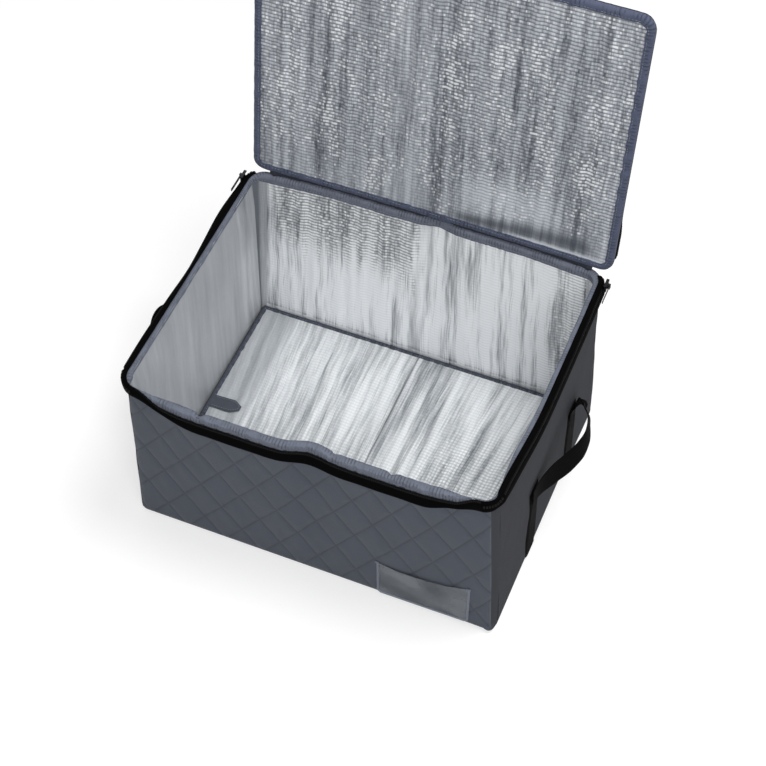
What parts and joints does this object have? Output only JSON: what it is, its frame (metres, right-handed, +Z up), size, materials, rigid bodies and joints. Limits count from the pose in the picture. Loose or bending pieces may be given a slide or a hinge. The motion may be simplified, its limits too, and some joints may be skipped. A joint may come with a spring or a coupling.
{
  "type": "collapsible cooler box",
  "caption": "Collapsible insulated cooler box with padded slate cloth walls, silver foil lining, a zip-round lid, webbing end handles and a clear label pocket; lid shown open.",
  "frame": {"origin": "middle of the bottom, level with the surface that the box stands on", "axes": "+X along the width to the right end wall, -Y the quilted front, +Z up"},
  "size_m": [0.6012, 0.4687, 0.6837],
  "materials": {
    "slate_cloth": "matte",
    "binding_cloth": "matte",
    "insert_cloth": "matte",
    "silver_foil": "satin",
    "white_foam": "matte",
    "grey_board": "matte",
    "black_tape": "matte",
    "black_webbing": "matte",
    "black_metal": "satin",
    "clear_film": "gloss",
    "welt_cloth": "satin"
  },
  "bodies": {
    "right_wall": {"skin_right": "slate_cloth", "core_right": "white_foam", "foil_right": "silver_foil", "rim_right": "binding_cloth", "zip_right": "black_tape", "strap_front_right": "black_webbing", "strap_rear_right": "black_webbing"},
    "left_wall": {"skin_left": "slate_cloth", "core_left": "white_foam", "foil_left": "silver_foil", "rim_left": "binding_cloth", "zip_left": "black_tape", "strap_front_left": "black_webbing", "strap_rear_left": "black_webbing"},
    "front_right": {"skin_front_right": "slate_cloth", "core_front_right": "white_foam", "foil_front_right": "silver_foil", "rim_front_right": "binding_cloth", "zip_front_right": "black_tape", "label_film": "clear_film", "label_welt": "welt_cloth"},
    "front_left": {"skin_front_left": "slate_cloth", "core_front_left": "white_foam", "foil_front_left": "silver_foil", "rim_front_left": "binding_cloth", "zip_front_left": "black_tape"},
    "back_right": {"skin_back_right": "slate_cloth", "core_back_right": "white_foam", "foil_back_right": "silver_foil", "rim_back_right": "binding_cloth"},
    "back_left": {"skin_back_left": "slate_cloth", "core_back_left": "white_foam", "foil_back_left": "silver_foil", "rim_back_left": "binding_cloth"},
    "floor_right": {"base_right": "slate_cloth", "insert_board_right": "grey_board", "insert_foil_right": "silver_foil", "insert_binding_right": "insert_cloth"},
    "floor_left": {"base_left": "slate_cloth"},
    "insert_half": {"insert_board_left": "grey_board", "insert_foil_left": "silver_foil", "insert_binding_left": "insert_cloth", "pull_tab": "insert_cloth"},
    "lid_half_right": {"lid_skin_right": "slate_cloth", "lid_core_right": "white_foam", "lid_foil_right": "silver_foil", "lid_binding_right": "binding_cloth", "lid_zip_right": "black_tape"},
    "lid_half_left": {"lid_skin_left": "slate_cloth", "lid_core_left": "white_foam", "lid_foil_left": "silver_foil", "lid_binding_left": "binding_cloth", "lid_zip_left": "black_tape"},
    "loop_right": {"handle_right": "black_webbing"},
    "loop_left": {"handle_left": "black_webbing"},
    "slider_body_right": {"slider_right": "black_metal"},
    "slider_body_left": {"slider_left": "black_metal"},
    "slider_pull_right": {"pull_right": "black_metal"},
    "slider_pull_left": {"pull_left": "black_metal"}
  },
  "joints": [
    {"name": "collapse", "type": "hinge", "parent": "right_wall", "child": "front_right", "pos_m": [0.255, -0.2025, 0], "axis": [0, 0, 1], "range_deg": [0, 78]},
    {"name": "front_fold", "type": "hinge", "parent": "front_right", "child": "front_left", "pos_m": [0, -0.1866, 0], "axis": [0, 0, 1], "range_deg": [-157, 1]},
    {"name": "left_corner", "type": "hinge", "parent": "front_left", "child": "left_wall", "pos_m": [-0.255, -0.2025, 0], "axis": [0, 0, 1], "range_deg": [-0.5, 78.5]},
    {"name": "back_corner", "type": "hinge", "parent": "right_wall", "child": "back_right", "pos_m": [0.255, 0.2025, 0], "axis": [0, 0, 1], "range_deg": [-78.5, 0.5]},
    {"name": "back_fold", "type": "hinge", "parent": "back_right", "child": "back_left", "pos_m": [0, 0.1866, 0], "axis": [0, 0, 1], "range_deg": [-1, 157]},
    {"name": "floor_rise_right", "type": "hinge", "parent": "right_wall", "child": "floor_right", "pos_m": [0.247, 0, 0.0092], "axis": [0, 1, 0], "range_deg": [-0.5, 78.5]},
    {"name": "floor_rise_left", "type": "hinge", "parent": "left_wall", "child": "floor_left", "pos_m": [-0.247, 0, 0.0092], "axis": [0, 1, 0], "range_deg": [-78.5, 0.5]},
    {"name": "lid_hinge", "type": "hinge", "parent": "back_right", "child": "lid_half_right", "pos_m": [0, 0.197, 0.285], "axis": [-1, 0, 0], "range_deg": [-98, 80]},
    {"name": "lid_fold", "type": "hinge", "parent": "lid_half_right", "child": "lid_half_left", "pos_m": [0, 0.1866, 0.28646], "axis": [0, 0.1392, 0.9903], "range_deg": [-1, 157]},
    {"name": "insert_lift", "type": "hinge", "parent": "floor_left", "child": "insert_half", "pos_m": [0, 0, 0.0094], "axis": [0, 1, 0], "range_deg": [0, 172]},
    {"name": "loop_swing_right", "type": "hinge", "parent": "right_wall", "child": "loop_right", "pos_m": [0.258, 0.014, 0.138], "axis": [0, -1, 0], "range_deg": [-60, 105]},
    {"name": "loop_swing_left", "type": "hinge", "parent": "left_wall", "child": "loop_left", "pos_m": [-0.258, 0.014, 0.138], "axis": [0, 1, 0], "range_deg": [-60, 105]},
    {"name": "slider_run_right", "type": "slide", "parent": "right_wall", "child": "slider_body_right", "axis": [0, 1, 0], "range_m": [-0.3645, 0]},
    {"name": "pull_swing_right", "type": "hinge", "parent": "slider_body_right", "child": "slider_pull_right", "pos_m": [0.2647, 0.1824, 0.28425], "axis": [0, 0, -1], "range_deg": [-150, 0]},
    {"name": "slider_run_left", "type": "slide", "parent": "left_wall", "child": "slider_body_left", "axis": [0, 1, 0], "range_m": [-0.3645, 0]},
    {"name": "pull_swing_left", "type": "hinge", "parent": "slider_body_left", "child": "slider_pull_left", "pos_m": [-0.2647, 0.1824, 0.28425], "axis": [0, 0, 1], "range_deg": [-150, 0]}
  ],
  "couplings": [
    {"joint": "front_fold", "follows": "collapse", "ratio": -2},
    {"joint": "left_corner", "follows": "collapse", "ratio": 1},
    {"joint": "back_corner", "follows": "collapse", "ratio": -1},
    {"joint": "back_fold", "follows": "collapse", "ratio": 2},
    {"joint": "floor_rise_right", "follows": "collapse", "ratio": 1},
    {"joint": "floor_rise_left", "follows": "collapse", "ratio": -1},
    {"joint": "lid_fold", "follows": "collapse", "ratio": 2}
  ]
}
